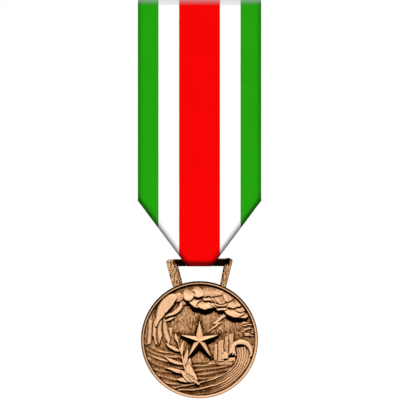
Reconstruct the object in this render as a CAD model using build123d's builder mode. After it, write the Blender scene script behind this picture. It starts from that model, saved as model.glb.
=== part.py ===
from build123d import *
import os
from math import cos, radians, sin

# A full-size service medal: a struck bronze disc on a trapezoid suspension loop, hanging from a folded
# ribbon that is wrapped round a hidden brooch bar, with a hinged needle and a turning safety catch behind.
#
# Frame, in millimetres: +Z is up as the medal hangs, the front of the medal faces -Y, and the origin is
# the middle of the needle's free length, which is where the medal is held when it is worn.

# ---- Driving dimensions -------------------------------------------------------------------------------
ribbon_width = 35.0
ribbon_thickness = 0.35
drape_length = 75.9  # top fold to bottom fold, outside to outside
taper_length = 18.6  # height of the folded point
point_width = 7.2  # width of the ribbon's lowest edge

disc_radius = 16.65
disc_thickness = 2.6  # over both rims
loop_drop = 22.35  # loop bar axis down to the disc's centre
loop_bar_radius = 0.9

needle_radius = 0.45
needle_free_length = 20.5  # round shank between hinge and taper
needle_standoff = 2.4  # needle axis to the ribbon's back surface
running_clearance = 0.05

bar_height = 9.0
bar_sheet = 0.5  # the bar is folded from this sheet
bar_side_gap = 0.8  # ribbon edge to bar end

# ---- Places worked out from them ----------------------------------------------------------------------
fold_inner_radius = loop_bar_radius + running_clearance
fold_outer_radius = fold_inner_radius + ribbon_thickness
drape_y = -needle_standoff - fold_outer_radius  # middle plane of ribbon, loop and disc
ribbon_back_y = -needle_standoff

ribbon_top_z = 4.8  # the needle lies this far below the top fold
top_fold_z = ribbon_top_z - fold_outer_radius
bar_bottom_z = top_fold_z + loop_bar_radius - bar_height
flex_z = bar_bottom_z - 1.0  # the ribbon head ends here, and the drape swings just below it
flex_gap = 0.5
loop_bar_z = ribbon_top_z - drape_length + fold_outer_radius
point_z = loop_bar_z - fold_outer_radius
shoulder_z = point_z + taper_length
disc_z = loop_bar_z - loop_drop

root_length = 1.8  # flattened stretch of needle between its eye and the round shank
hinge_x = -needle_free_length / 2 - root_length
taper_x = needle_free_length / 2
catch_x = taper_x + 2.2
needle_tip_x = catch_x + 2.6

foot_thickness = 0.4
foot_top_y = ribbon_back_y + foot_thickness
foot_rivet_radius = 0.5
foot_rivet_offset = 3.3  # foot rivet from the hinge or catch it holds
foot_rivets_x = (hinge_x + foot_rivet_offset, catch_x - foot_rivet_offset)


def upright(y):
    """A plane at this depth to draw front-view shapes on; extruding goes towards the front."""
    return Plane.XZ.offset(-y)


def section(y, z, x=0, turn=0):
    """A plane for side-view shapes, facing +X, with its own x along +Y unless turned about its normal."""
    return Plane((x, y, z), x_dir=(0, cos(radians(turn)), sin(radians(turn))), z_dir=(1, 0, 0))


def hairpin(plane, outer_radius, thickness, leg):
    """Side view of a strip folded over a bar: a half ring, with both legs running along the plane's -y."""
    inner_radius = outer_radius - thickness
    with BuildSketch(plane) as shape:
        Circle(outer_radius)
        with Locations((0, -leg / 2)):
            Rectangle(2 * outer_radius, leg)
        Circle(inner_radius, mode=Mode.SUBTRACT)
        with Locations((0, -leg / 2)):
            Rectangle(2 * inner_radius, leg, mode=Mode.SUBTRACT)
    return shape.sketch


def outline(plane, points):
    """A filled polygon on a plane."""
    with BuildSketch(plane) as shape:
        with BuildLine():
            Polyline(points, close=True)
        make_face()
    return shape.sketch


def mirrored(points):
    """A right-hand half outline, listed from top to bottom, closed by its own mirror image."""
    return [*points, *[(-x, z) for x, z in reversed(points)]]


def keep(name, label):
    """Labels a finished piece and writes its STEP file."""
    name.part.label = label
    export_step(name.part, f"parts/{label}.step")


os.makedirs("parts", exist_ok=True)

# ---- Brooch bar: thin brass sheet folded over at the top, hidden inside the ribbon ----------------------
bar_leg = top_fold_z - bar_bottom_z
with BuildPart() as brooch_bar:
    bar_fold = hairpin(section(drape_y, top_fold_z), loop_bar_radius, bar_sheet, bar_leg)
    extrude(bar_fold, amount=ribbon_width / 2 - bar_side_gap, both=True)
    with Locations([(x, drape_y + loop_bar_radius, 0) for x in foot_rivets_x]):
        Cylinder(foot_rivet_radius, 2 * bar_sheet, rotation=(90, 0, 0), mode=Mode.SUBTRACT)
keep(brooch_bar, "brooch_bar")

# ---- Ribbon head: the part of the ribbon that is wrapped round the brooch bar ---------------------------
head_leg = top_fold_z - flex_z
with BuildPart() as ribbon_head:
    top_fold = hairpin(section(drape_y, top_fold_z), fold_outer_radius, ribbon_thickness, head_leg)
    extrude(top_fold, amount=ribbon_width / 2, both=True)
    with Locations([(x, ribbon_back_y, 0) for x in foot_rivets_x]):
        Cylinder(foot_rivet_radius, 2 * ribbon_thickness, rotation=(90, 0, 0), mode=Mode.SUBTRACT)
keep(ribbon_head, "ribbon_head")

# ---- Ribbon drape: both panels, the point round the loop bar, and the gussets tucked in at each side ----
half_width = ribbon_width / 2
half_point = point_width / 2
drape_top_z = flex_z - flex_gap
fold_line = Vector(half_point - half_width, point_z - shoulder_z)  # along the left fold, downwards
selvedge = Vector(0, point_z - shoulder_z)  # the selvedge that the fold turns in
tucked = fold_line * (2 * fold_line.dot(selvedge) / fold_line.length**2) - selvedge
gusset_tip = (0.1, shoulder_z + tucked.Y)
gusset_foot_z = loop_bar_z + fold_outer_radius
gusset_foot_x = half_point + (gusset_foot_z - point_z) * (half_width - half_point) / taper_length
gusset_heel = (half_point - 0.3, gusset_foot_z)
crease = 0.35  # width of the wall that joins a gusset's two leaves
tail_length = 5.2  # the wrapped end, sewn down on the back panel
tail_bottom_z = drape_top_z - tail_length

with BuildPart() as ribbon_drape:
    point_fold = hairpin(
        section(drape_y, loop_bar_z, turn=180),
        fold_outer_radius,
        ribbon_thickness,
        drape_top_z - loop_bar_z,
    )
    extrude(point_fold, amount=half_width, both=True)
    panel = outline(
        upright(ribbon_back_y),
        mirrored([(half_width, drape_top_z), (half_width, shoulder_z), (half_point, point_z)]),
    )
    extrude(panel, amount=2 * fold_outer_radius, mode=Mode.INTERSECT)
    leaf = [(half_width, shoulder_z), (gusset_foot_x, gusset_foot_z), gusset_heel, gusset_tip]
    wall = [
        gusset_heel,
        (gusset_heel[0] + crease, gusset_heel[1]),
        (gusset_tip[0] + crease, gusset_tip[1]),
        gusset_tip,
    ]
    for side in (-1, 1):
        for y in (drape_y - fold_inner_radius + ribbon_thickness, drape_y + fold_inner_radius):
            extrude(outline(upright(y), [(side * x, z) for x, z in leaf]), amount=ribbon_thickness)
        joining_wall = outline(upright(drape_y + fold_inner_radius), [(side * x, z) for x, z in wall])
        extrude(joining_wall, amount=2 * fold_inner_radius)
    with BuildSketch(upright(ribbon_back_y + ribbon_thickness)):
        with Locations((0, drape_top_z - tail_length / 2)):
            Rectangle(ribbon_width, tail_length)
    extrude(amount=ribbon_thickness)
keep(ribbon_drape, "ribbon_drape")

# ---- Stiffener: buckram between the two panels, ending above the gussets --------------------------------
stiffener_inset = 0.6
stiffener_thickness = 0.5
stiffener_half_width = half_width - stiffener_inset
stiffener_point = (0, gusset_tip[1] + stiffener_inset)
with BuildPart() as ribbon_stiffener:
    buckram = outline(
        upright(drape_y + stiffener_thickness / 2),
        [
            (-stiffener_half_width, drape_top_z - stiffener_inset),
            (stiffener_half_width, drape_top_z - stiffener_inset),
            (stiffener_half_width, shoulder_z + stiffener_inset),
            stiffener_point,
            (-stiffener_half_width, shoulder_z + stiffener_inset),
        ],
    )
    extrude(buckram, amount=stiffener_thickness)
keep(ribbon_stiffener, "ribbon_stiffener")

# ---- Stitches: a running seam along the tail, and two bar tacks that hold the folded point --------------
thread_radius = 0.16
stitch_length = 1.2
stitch_pitch = 2.1
seam_count = 16
seam_z = tail_bottom_z + 1.0
with BuildPart() as seam_stitches:
    with Locations((0, ribbon_back_y + ribbon_thickness, seam_z)):
        with GridLocations(stitch_pitch, 1, seam_count, 1):
            Cylinder(thread_radius, stitch_length, rotation=(0, 90, 0))
keep(seam_stitches, "seam_stitches")

tack_z = gusset_foot_z + 3.0
tack_x = 4.4
tack_tilt = 38  # along the folded edge, in degrees from upright
with BuildPart() as fold_stitches:
    for side in (-1, 1):
        for step in (-0.5, 0.5):
            with Locations((side * (tack_x + step), ribbon_back_y, tack_z)):
                Cylinder(thread_radius, stitch_length, rotation=(0, side * tack_tilt, 0))
keep(fold_stitches, "fold_stitches")

# ---- Suspension loop: two flared legs and a round top bar, soldered to the disc's edge ------------------
loop_thickness = 2.0
leg_run = 6.7  # the height over which the leg widths below are given
# (outer top, inner top, outer foot, inner foot), measured from the ribbon's middle
left_leg = (-9.75, -6.75, -7.95, -5.0)
right_leg = (9.5, 7.35, 7.85, 6.05)
leg_overrun = 3.0  # the legs run on under the disc's edge and are then coped to it
loop_corner = 0.8
loop_edge = 0.3

with BuildPart() as suspension_loop:
    for outer_top, inner_top, outer_foot, inner_foot in (left_leg, right_leg):
        scale = 1 + leg_overrun / leg_run
        foot_z = loop_bar_z - leg_run * scale
        leg = outline(
            upright(drape_y + loop_thickness / 2),
            [
                (outer_top, loop_bar_z + loop_bar_radius),
                (inner_top, loop_bar_z + loop_bar_radius),
                (inner_top, loop_bar_z),
                (inner_top + (inner_foot - inner_top) * scale, foot_z),
                (outer_top + (outer_foot - outer_top) * scale, foot_z),
            ],
        )
        extrude(leg, amount=loop_thickness)
    outer_corners = suspension_loop.edges().filter_by(Axis.Y).group_by(Axis.Z)[-1].sort_by(Axis.X)
    fillet([outer_corners[0], outer_corners[-1]], loop_corner)
    fillet(suspension_loop.faces().filter_by(Axis.Y).edges(), loop_edge)
    bar_middle_x = (left_leg[1] + right_leg[1]) / 2
    with Locations((bar_middle_x, drape_y, loop_bar_z)):
        Cylinder(loop_bar_radius, right_leg[1] - left_leg[1] + 2 * loop_corner, rotation=(0, 90, 0))
    with Locations((0, drape_y, disc_z)):
        Cylinder(disc_radius, 2 * disc_thickness, rotation=(90, 0, 0), mode=Mode.SUBTRACT)
keep(suspension_loop, "suspension_loop")

# ---- Medal disc: struck blank with a raised rim on both sides, and the main masses of its relief ---------
rim_width = 0.9
front_recess = 0.9
back_recess = 0.35
rim_round = 0.3
star_tip_radius = 5.7
star_notch_radius = 2.0
star_height = 0.85
relief_height = 0.5
relief_margin = 0.2  # left free between the relief and the rim
# All relief positions are measured from the disc's centre: clouds as (x, z, radius)
cloud_lobes = (
    (-2.9, 13.1, 1.6),
    (-0.5, 13.5, 1.8),
    (2.4, 12.6, 1.9),
    (5.4, 11.7, 2.0),
    (8.3, 10.4, 2.1),
    (-1.0, 10.3, 1.8),
    (1.7, 9.9, 1.8),
    (5.3, 9.4, 1.4),
    (9.2, 8.2, 1.9),
    (11.9, 7.6, 1.6),
)
towers = ((4.9, 0.7, -6.0, -0.8), (6.0, 1.3, -6.1, 0.1), (8.6, 1.1, -4.6, 1.3))  # (x, width, foot, top)
crest_x = 12.0
crest_z = -3.4
crest_outer_radius = 3.2
crest_inner_radius = 1.8
disc_front_y = drape_y - disc_thickness / 2
disc_back_y = drape_y + disc_thickness / 2
front_field_y = disc_front_y + front_recess
back_field_y = disc_back_y - back_recess
star_centre_z = disc_z - 0.4

with BuildPart() as medal_disc:
    half_section = outline(
        Plane.XY.offset(disc_z),
        [
            (0, front_field_y),
            (disc_radius - rim_width, front_field_y),
            (disc_radius - rim_width, disc_front_y),
            (disc_radius, disc_front_y),
            (disc_radius, disc_back_y),
            (disc_radius - rim_width, disc_back_y),
            (disc_radius - rim_width, back_field_y),
            (0, back_field_y),
        ],
    )
    revolve(half_section, axis=Axis((0, 0, disc_z), (0, 1, 0)))
    circles = medal_disc.edges().filter_by(GeomType.CIRCLE)
    fillet(circles.filter_by(lambda edge: edge.radius > disc_radius - rim_width / 2), rim_round)
    star_points = []
    for i in range(10):
        reach = star_notch_radius if i % 2 else star_tip_radius
        angle = radians(90 + 36 * i)
        star_points.append((reach * cos(angle), star_centre_z + reach * sin(angle)))
    star_base = outline(upright(front_field_y), star_points)
    loft([star_base.face(), Vertex(0, front_field_y - star_height, star_centre_z)], ruled=True)
    with BuildSketch(upright(front_field_y)):
        for x, z, radius in cloud_lobes:
            with Locations((x, disc_z + z)):
                Circle(radius)
        with Locations((0, disc_z)):
            Circle(disc_radius - rim_width - relief_margin, mode=Mode.INTERSECT)
    extrude(amount=relief_height)
    with BuildSketch(upright(front_field_y)):
        for x, width, foot, top in towers:
            with Locations((x, disc_z + (foot + top) / 2)):
                Rectangle(width, top - foot)
    extrude(amount=relief_height)
    with BuildSketch(upright(front_field_y)):
        with Locations((crest_x, disc_z + crest_z)):
            Circle(crest_outer_radius)
            Circle(crest_inner_radius, mode=Mode.SUBTRACT)
        with Locations((crest_x, disc_z + crest_z - crest_outer_radius / 2)):
            Rectangle(2 * crest_outer_radius, crest_outer_radius, mode=Mode.SUBTRACT)
        with Locations((0, disc_z)):
            Circle(disc_radius - rim_width - relief_margin, mode=Mode.INTERSECT)
    extrude(amount=relief_height)
keep(medal_disc, "medal_disc")

# ---- Hinge bracket: a riveted foot with two cheeks and a heel that stops the open needle ----------------
foot_half_height = 1.3
cheek_inner_z = needle_radius + 0.1
cheek_thickness = 0.45
cheek_reach = 1.1  # cheeks and rivet centre to the bracket's rounded end
heel_inner_x = hinge_x - 1.2
heel_thickness = 0.4
heel_top_y = 1.0
heel_height = heel_top_y - foot_top_y
heel_middle_y = (heel_top_y + foot_top_y) / 2
foot_end = 1.3  # foot rivet to the foot's end
hinge_rivet_radius = 0.4

with BuildPart() as hinge_bracket:
    with BuildSketch(upright(foot_top_y)):
        with Locations(((heel_inner_x - heel_thickness + foot_rivets_x[0] + foot_end) / 2, 0)):
            Rectangle(foot_rivets_x[0] + foot_end - heel_inner_x + heel_thickness, 2 * foot_half_height)
    extrude(amount=foot_thickness)
    for side in (-1, 1):
        low_z = cheek_inner_z if side > 0 else -cheek_inner_z - cheek_thickness
        with BuildSketch(Plane.XY.offset(low_z)):
            with Locations((hinge_x, 0)):
                Circle(cheek_reach)
            with Locations((hinge_x, foot_top_y / 2)):
                Rectangle(2 * cheek_reach, -foot_top_y)
            with Locations((heel_inner_x, heel_middle_y)):
                Rectangle(2 * heel_thickness, heel_height)
        extrude(amount=cheek_thickness)
    with Locations((heel_inner_x - heel_thickness / 2, heel_middle_y, 0)):
        Box(heel_thickness, heel_height, 2 * cheek_inner_z)
    with Locations((hinge_x, 0, 0)):
        Cylinder(hinge_rivet_radius, 4 * foot_half_height, mode=Mode.SUBTRACT)
    with Locations((foot_rivets_x[0], foot_top_y, 0)):
        Cylinder(foot_rivet_radius, 4 * foot_thickness, rotation=(90, 0, 0), mode=Mode.SUBTRACT)
keep(hinge_bracket, "hinge_bracket")

# ---- Hinge rivet: the needle turns on it ---------------------------------------------------------------
rivet_head_radius = 0.75
rivet_crown_radius = 0.4  # the flat on top of each coned head
rivet_head_height = 0.35
cheek_outer_z = cheek_inner_z + cheek_thickness
rivet_top_z = cheek_outer_z + rivet_head_height
with BuildPart() as hinge_rivet:
    with BuildSketch(Plane.XZ):
        with BuildLine():
            Polyline(
                (hinge_x, -rivet_top_z),
                (hinge_x + rivet_crown_radius, -rivet_top_z),
                (hinge_x + rivet_head_radius, -cheek_outer_z),
                (hinge_x + hinge_rivet_radius, -cheek_outer_z),
                (hinge_x + hinge_rivet_radius, cheek_outer_z),
                (hinge_x + rivet_head_radius, cheek_outer_z),
                (hinge_x + rivet_crown_radius, rivet_top_z),
                (hinge_x, rivet_top_z),
                close=True,
            )
        make_face()
    revolve(axis=Axis((hinge_x, 0, 0), (0, 0, 1)))
keep(hinge_rivet, "hinge_rivet")

# ---- Needle: an eye on the hinge rivet, a flattened root, a round shank and a long point -----------------
eye_radius = 1.0
point_radius = 0.06
with BuildPart() as pin_needle:
    with Locations((hinge_x, 0, 0)):
        Cylinder(eye_radius, 2 * needle_radius)
    with Locations((hinge_x + root_length / 2, 0, 0)):
        Box(root_length, 2 * needle_radius, 2 * needle_radius)
    with Locations((hinge_x, 0, 0)):
        Cylinder(hinge_rivet_radius + running_clearance, 4 * needle_radius, mode=Mode.SUBTRACT)
    with Locations(((hinge_x + root_length + taper_x) / 2, 0, 0)):
        Cylinder(needle_radius, needle_free_length, rotation=(0, 90, 0))
    with Locations(((taper_x + needle_tip_x) / 2, 0, 0)):
        Cone(needle_radius, point_radius, needle_tip_x - taper_x, rotation=(0, 90, 0))
keep(pin_needle, "pin_needle")

# ---- Catch bracket: a riveted foot with an open barrel that the needle's point drops into ----------------
barrel_radius = 1.75
barrel_bore = 1.25
barrel_length = 2.0
mouth_width = 1.3
with BuildPart() as catch_bracket:
    with BuildSketch(upright(foot_top_y)):
        with Locations(((foot_rivets_x[1] - foot_end + catch_x + barrel_length / 2) / 2, 0)):
            Rectangle(catch_x + barrel_length / 2 - foot_rivets_x[1] + foot_end, 2 * foot_half_height)
    extrude(amount=foot_thickness)
    with BuildSketch(section(0, 0, catch_x - barrel_length / 2)):
        Circle(barrel_radius)
        with Locations((foot_top_y / 2, 0)):
            Rectangle(-foot_top_y, 2 * barrel_bore)
        Circle(barrel_bore, mode=Mode.SUBTRACT)
        with Locations((barrel_radius / 2, 0)):
            Rectangle(barrel_radius, mouth_width, mode=Mode.SUBTRACT)
    extrude(amount=barrel_length)
    with Locations((foot_rivets_x[1], foot_top_y, 0)):
        Cylinder(foot_rivet_radius, 4 * foot_thickness, rotation=(90, 0, 0), mode=Mode.SUBTRACT)
keep(catch_bracket, "catch_bracket")

# ---- Catch lock: a slotted sleeve in the barrel, turned by its lever to shut the mouth -------------------
lock_bore = 0.6
lock_radius = barrel_bore - running_clearance
collar_radius = 1.55
collar_length = 0.45
lever_reach = 2.9
lever_width = 0.9
lever_pad_radius = 0.56
lever_angle = -60  # from the mouth, at rest with the catch open
with BuildPart() as catch_lock:
    sleeve_length = barrel_length + 2 * running_clearance + 2 * collar_length
    with Locations((catch_x, 0, 0)):
        Cylinder(lock_radius, sleeve_length, rotation=(0, 90, 0))
    for side in (-1, 1):
        with Locations((catch_x + side * (sleeve_length - collar_length) / 2, 0, 0)):
            Cylinder(collar_radius, collar_length, rotation=(0, 90, 0))
    with BuildSketch(section(0, 0, catch_x + sleeve_length / 2 - collar_length, lever_angle)):
        with Locations((lever_reach / 2, 0)):
            Rectangle(lever_reach - lever_width / 2, lever_width)
        with Locations((lever_reach - lever_width / 2, 0)):
            Circle(lever_pad_radius)
    extrude(amount=collar_length)
    with Locations((catch_x, 0, 0)):
        Cylinder(lock_bore, 2 * sleeve_length, rotation=(0, 90, 0), mode=Mode.SUBTRACT)
    with Locations((catch_x, collar_radius / 2, 0)):
        Box(2 * sleeve_length, collar_radius, 2 * lock_bore, mode=Mode.SUBTRACT)
keep(catch_lock, "catch_lock")

# ---- Foot rivets: they fasten both brackets through the ribbon to the bar --------------------------------
foot_head_radius = 0.95
foot_crown_radius = 0.5
foot_head_height = 0.35
tail_head_radius = 0.75
tail_head_height = 0.2
bar_inner_y = drape_y + loop_bar_radius - bar_sheet
with BuildPart() as bracket_rivets:
    for x in foot_rivets_x:
        with BuildSketch(Plane.XY):
            with BuildLine():
                Polyline(
                    (x, foot_top_y + foot_head_height),
                    (x + foot_crown_radius, foot_top_y + foot_head_height),
                    (x + foot_head_radius, foot_top_y),
                    (x + foot_rivet_radius, foot_top_y),
                    (x + foot_rivet_radius, bar_inner_y),
                    (x + tail_head_radius, bar_inner_y),
                    (x + tail_head_radius, bar_inner_y - tail_head_height),
                    (x, bar_inner_y - tail_head_height),
                    close=True,
                )
            make_face()
        revolve(axis=Axis((x, 0, 0), (0, 1, 0)))
keep(bracket_rivets, "bracket_rivets")
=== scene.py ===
import math

import bmesh
import bpy
import numpy as np
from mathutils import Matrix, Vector
from mathutils import noise as mnoise


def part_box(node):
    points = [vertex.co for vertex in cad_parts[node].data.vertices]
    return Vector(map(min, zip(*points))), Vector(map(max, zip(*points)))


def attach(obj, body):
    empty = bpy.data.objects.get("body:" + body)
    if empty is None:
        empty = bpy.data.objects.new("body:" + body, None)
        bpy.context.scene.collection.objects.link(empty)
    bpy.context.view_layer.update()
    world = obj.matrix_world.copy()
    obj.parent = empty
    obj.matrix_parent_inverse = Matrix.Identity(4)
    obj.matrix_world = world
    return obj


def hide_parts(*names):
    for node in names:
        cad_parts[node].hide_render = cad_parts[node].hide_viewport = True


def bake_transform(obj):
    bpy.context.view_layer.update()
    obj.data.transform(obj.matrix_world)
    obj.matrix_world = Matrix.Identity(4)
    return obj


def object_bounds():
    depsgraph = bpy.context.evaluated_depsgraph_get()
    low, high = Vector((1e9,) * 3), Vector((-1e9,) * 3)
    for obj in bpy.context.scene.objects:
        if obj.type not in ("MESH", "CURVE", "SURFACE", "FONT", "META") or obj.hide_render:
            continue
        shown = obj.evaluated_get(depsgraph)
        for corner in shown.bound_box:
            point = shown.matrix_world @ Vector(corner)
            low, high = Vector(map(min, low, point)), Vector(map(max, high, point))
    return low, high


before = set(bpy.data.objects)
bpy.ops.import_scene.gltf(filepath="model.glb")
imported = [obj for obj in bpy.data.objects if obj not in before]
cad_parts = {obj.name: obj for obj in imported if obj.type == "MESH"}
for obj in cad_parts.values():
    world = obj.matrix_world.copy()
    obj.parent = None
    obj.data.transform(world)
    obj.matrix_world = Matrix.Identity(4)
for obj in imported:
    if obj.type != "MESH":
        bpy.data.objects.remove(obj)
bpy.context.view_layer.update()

MM = 0.001
TAU = 2 * math.pi
SEED = 11


# -------- small tools
def smoothstep(x):
    x = np.clip(x, 0, 1)
    return x * x * (3 - 2 * x)


def new_object(name, verts, faces, material):
    """A smooth-shaded mesh object, in metres."""
    mesh = bpy.data.meshes.new(name)
    mesh.from_pydata([tuple(v) for v in verts], [], [tuple(f) for f in faces])
    mesh.update()
    mesh.shade_smooth()
    mesh.materials.append(material)
    obj = bpy.data.objects.new(name, mesh)
    bpy.context.scene.collection.objects.link(obj)
    return obj


def grid_faces(rows, cols, start=0):
    """Quads of a sheet whose points are numbered row by row from start."""
    i, j = np.meshgrid(np.arange(rows - 1), np.arange(cols - 1), indexing="ij")
    a = (start + i * cols + j).ravel()
    return np.stack([a, a + 1, a + cols + 1, a + cols], 1).tolist()


def strip_faces(first, second):
    """Quads between two rows of point numbers."""
    return np.stack([first[:-1], first[1:], second[1:], second[:-1]], 1).tolist()


def tube_faces(rows, cols, start=0, capped=True):
    """Faces of a tube of rows + 1 rings, each of cols points."""
    faces = []
    for ring in range(start, start + rows * cols, cols):
        for j in range(cols):
            k = (j + 1) % cols
            faces.append((ring + j, ring + k, ring + cols + k, ring + cols + j))
    if capped:
        last = start + rows * cols
        faces.append(tuple(range(start, start + cols))[::-1])
        faces.append(tuple(range(last, last + cols)))
    return faces


def put_attribute(obj, name, values):
    values = np.asarray(values, np.float32)
    kind = "FLOAT" if values.ndim == 1 else "FLOAT_VECTOR"
    att = obj.data.attributes.new(name, kind, "POINT")
    att.data.foreach_set("value" if kind == "FLOAT" else "vector", values.ravel())


def turn_outwards(obj, weld=False):
    """Makes all faces look outwards; weld first joins the points that coincide."""
    bm = bmesh.new()
    bm.from_mesh(obj.data)
    if weld:
        bmesh.ops.remove_doubles(bm, verts=bm.verts, dist=1e-6)
        bmesh.ops.dissolve_degenerate(bm, dist=1e-7, edges=bm.edges)
    bmesh.ops.recalc_face_normals(bm, faces=bm.faces)
    bm.to_mesh(obj.data)
    bm.free()


def thicken(obj, thickness, even=False):
    """Gives a sheet its thickness in mm, half of it to each side, as part of the mesh."""
    solid = obj.modifiers.new("thickness", "SOLIDIFY")
    solid.thickness = thickness * MM
    solid.offset = 0
    solid.use_even_offset = even
    bpy.context.view_layer.update()
    graph = bpy.context.evaluated_depsgraph_get()
    thick = obj.evaluated_get(graph)
    mesh = bpy.data.meshes.new_from_object(thick, preserve_all_data_layers=True, depsgraph=graph)
    obj.modifiers.clear()
    obj.data = mesh
    mesh.shade_smooth()


def hand_over(piece, body, node):
    """The piece rides on the body and stands for the CAD node, which is hidden."""
    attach(piece, body)
    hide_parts(node)


# -------- node materials
class Nodes:
    """A thin wrapper that builds a material's node tree."""

    def __init__(self, name):
        self.mat = bpy.data.materials.new(name)
        self.mat.use_nodes = True
        self.tree = self.mat.node_tree
        self.bsdf = self.tree.nodes["Principled BSDF"]

    def put(self, socket, value):
        if isinstance(value, bpy.types.NodeSocket):
            self.tree.links.new(value, socket)
        else:
            socket.default_value = value

    def node(self, kind, out=0, props=None, **inputs):
        """A new node's output; an input is given by its name, or as i0, i1, i2 by its number."""
        n = self.tree.nodes.new(kind)
        for k, v in (props or {}).items():
            setattr(n, k, v)
        for k, v in inputs.items():
            key = int(k[1:]) if k[0] == "i" and k[1:].isdigit() else k.replace("_", " ")
            self.put(n.inputs[key], v)
        return n.outputs[out]

    def math(self, op, a, b=0.0, c=0.0, clamp=False):
        return self.node("ShaderNodeMath", 0, {"operation": op, "use_clamp": clamp}, i0=a, i1=b, i2=c)

    def attribute(self, name, out="Fac"):
        return self.node("ShaderNodeAttribute", out, {"attribute_name": name})

    def scaled(self, vector, scale):
        return self.node("ShaderNodeVectorMath", 0, {"operation": "MULTIPLY"}, i0=vector, i1=scale)

    def coords(self, scale=(1000, 1000, 1000)):
        return self.scaled(self.node("ShaderNodeTexCoord", "Object"), scale)

    def noise(self, scale, detail=3.0, rough=0.6, vector=None):
        vector = vector if vector is not None else self.coords()
        return self.node("ShaderNodeTexNoise", 0, None,
                         Vector=vector, Scale=scale, Detail=detail, Roughness=rough)

    def mix(self, fac, a, b):
        n = self.tree.nodes.new("ShaderNodeMix")
        n.data_type = "RGBA"
        self.put(n.inputs[0], fac)
        self.put(n.inputs[6], a)
        self.put(n.inputs[7], b)
        return n.outputs[2]

    def ramp(self, fac, stops):
        n = self.tree.nodes.new("ShaderNodeValToRGB")
        ramp = n.color_ramp
        while len(ramp.elements) < len(stops):
            ramp.elements.new(0.5)
        for element, (where, colour) in zip(ramp.elements, stops):
            element.position = where
            element.color = (*colour, 1)
        self.put(n.inputs[0], fac)
        return n.outputs[0]

    def bump(self, height, distance, strength):
        return self.node("ShaderNodeBump", 0, None, Height=height, Distance=distance, Strength=strength)

    def finish(self, **inputs):
        for k, v in inputs.items():
            self.put(self.bsdf.inputs[k.replace("_", " ")], v)
        return self.mat


class WorldNodes(Nodes):
    """The same for the world's node tree."""

    def __init__(self, name):
        self.world = bpy.data.worlds.new(name)
        self.world.use_nodes = True
        self.tree = self.world.node_tree
        self.tree.nodes.clear()


def srgb(r, g, b):
    """Linear colour from 0-255 display values."""
    c = np.array([r, g, b]) / 255
    return tuple(np.where(c <= 0.04045, c / 12.92, ((c + 0.055) / 1.055) ** 2.4))


# -------- tools for the relief, on a raster, in mm
disc_low, disc_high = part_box("medal_disc")
disc_centre = (disc_low + disc_high) / 2
disc_r = (disc_high.x - disc_low.x) / 2 / MM
disc_depth = (disc_high.y - disc_low.y) / MM
rim_inner = disc_r * 0.952
recess = 0.9
back_recess = 0.35

CELL = 0.05
HALF = 330  # cells from the middle to each side
line = np.arange(-HALF, HALF + 1) * CELL
PX, PZ = np.meshgrid(line, line)  # the row index runs with z
RAD = np.hypot(PX, PZ)


def blur(field, sigma_x, sigma_z=None):
    """Gaussian blur, sigmas in mm."""
    f = np.fft.fftfreq(field.shape[0])
    gx = np.exp(-2 * (math.pi * sigma_x / CELL * f) ** 2)
    gz = np.exp(-2 * (math.pi * (sigma_x if sigma_z is None else sigma_z) / CELL * f) ** 2)
    return np.real(np.fft.ifft2(np.fft.fft2(field) * gz[:, None] * gx[None, :]))


def grain(size_x, size_z, seed):
    """Smooth noise with its own size along x and z, mostly within -1 to 1."""
    out = blur(np.random.default_rng(SEED + seed).standard_normal(PX.shape), size_x, size_z)
    return out / (2.0 * out.std())


# the same places, as an unsteady hand draws them: every outline below uses these
WX = PX + 0.16 * grain(0.7, 0.7, 6) + 0.05 * grain(0.2, 0.25, 7)
WZ = PZ + 0.16 * grain(0.7, 0.7, 8) + 0.05 * grain(0.2, 0.25, 9)


def circle(x, z, r):
    return np.hypot(WX - x, WZ - z) - r


def to_segment(start, end):
    """Distance to a segment, and how far along it the nearest point is, from 0 to 1."""
    (ax, az), (bx, bz) = start, end
    dx, dz = bx - ax, bz - az
    t = np.clip(((WX - ax) * dx + (WZ - az) * dz) / (dx * dx + dz * dz), 0, 1)
    return np.hypot(WX - ax - t * dx, WZ - az - t * dz), t


def stroke(points, radii):
    """Distance to a chain of tapered capsules."""
    best = np.full(PX.shape, 1e3)
    for start, end, r0, r1 in zip(points[:-1], points[1:], radii[:-1], radii[1:]):
        away, t = to_segment(start, end)
        best = np.minimum(best, away - (r0 + (r1 - r0) * t))
    return best


def curve(points, count=40):
    """A smooth curve (Catmull-Rom) through the points."""
    p = np.array(points, float)
    p = np.vstack([2 * p[0] - p[1], p, 2 * p[-1] - p[-2]])
    out = []
    for i in range(1, len(p) - 2):
        t = np.linspace(0, 1, max(3, count // (len(p) - 3)), endpoint=False)[:, None]
        a, b, c, d = p[i - 1 : i + 3]
        out.append(0.5 * (2 * b + (c - a) * t + (2 * a - 5 * b + 4 * c - d) * t**2
                          + (3 * b - a - 3 * c + d) * t**3))
    return np.vstack(out + [p[-2:-1]])


def swept(points, half_widths, count=24):
    """A stroke along a smooth curve; its half widths are spread evenly along it."""
    path = curve(points, count)
    share = np.linspace(0, len(half_widths) - 1, len(path))
    return stroke(path, np.interp(share, range(len(half_widths)), half_widths))


def polygon(points):
    """Signed distance to a polygon, negative inside."""
    p = np.array(points, float)
    inside = np.zeros(PX.shape, bool)
    best = np.full(PX.shape, 1e3)
    for (ax, az), (bx, bz) in zip(p, np.roll(p, -1, 0)):
        best = np.minimum(best, to_segment((ax, az), (bx, bz))[0])
        crosses = (az > WZ) != (bz > WZ)
        rise = bz - az if bz != az else 1e-9
        inside ^= crosses & (WX < (bx - ax) * (WZ - az) / rise + ax)
    return np.where(inside, -best, best)


def shoulder(sdf, edge):
    """0 at an outline and 1 from edge inwards, rounded like a quarter circle."""
    t = np.clip(-sdf / edge, 0, 1)
    return np.sqrt(1 - (1 - t) ** 2)


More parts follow.
